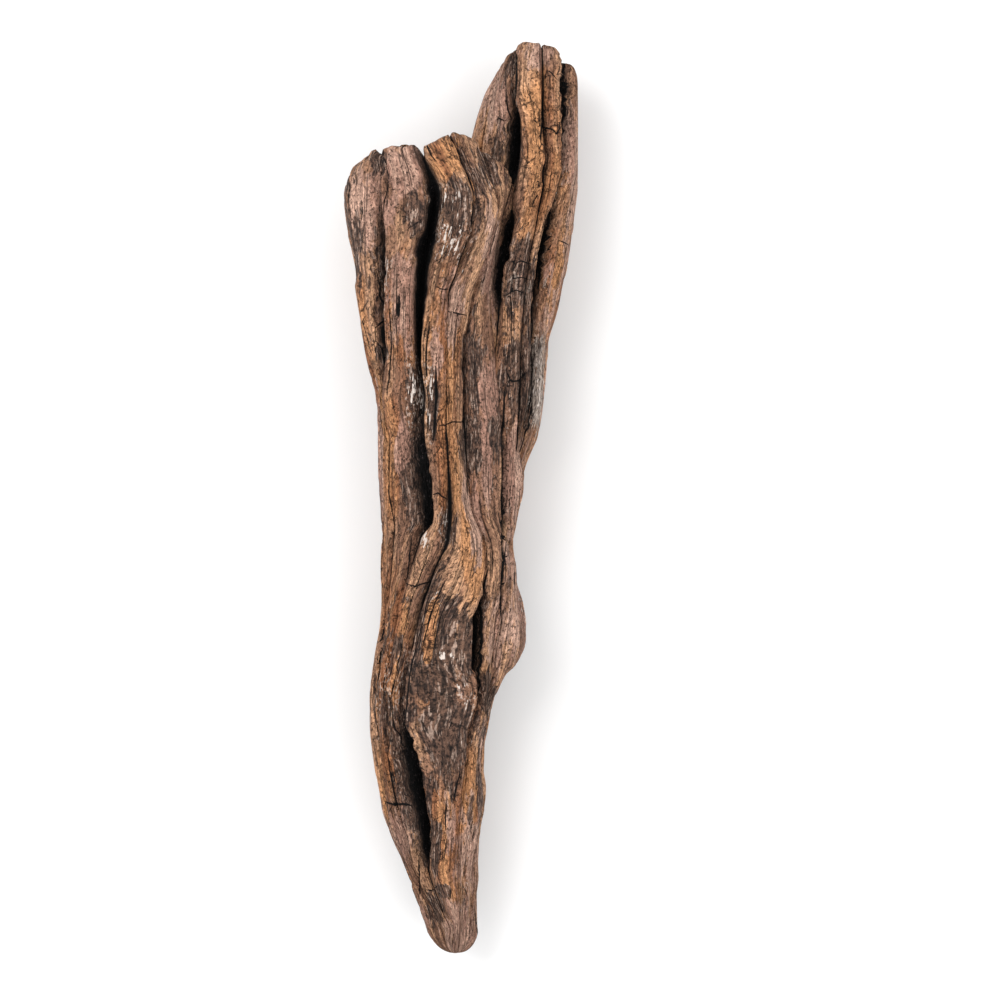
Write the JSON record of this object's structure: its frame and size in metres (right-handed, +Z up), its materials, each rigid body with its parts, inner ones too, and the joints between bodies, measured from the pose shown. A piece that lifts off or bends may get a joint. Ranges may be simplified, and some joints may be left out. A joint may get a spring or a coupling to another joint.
{
  "type": "piece of driftwood",
  "caption": "Weathered piece of driftwood with a split, blunt end, a longer side limb and a worn tip, lying flat.",
  "frame": {"origin": "on the surface that the wood lies on, under the middle of its box", "axes": "+Z up, +Y along the wood from the worn tip towards the end of the longer limb, +X across towards that limb"},
  "size_m": [0.0826, 0.32, 0.0585],
  "materials": {
    "weathered_wood": "dry, matt, cracked along the grain"
  },
  "bodies": {
    "root": {"driftwood": "weathered_wood"}
  },
  "joints": []
}
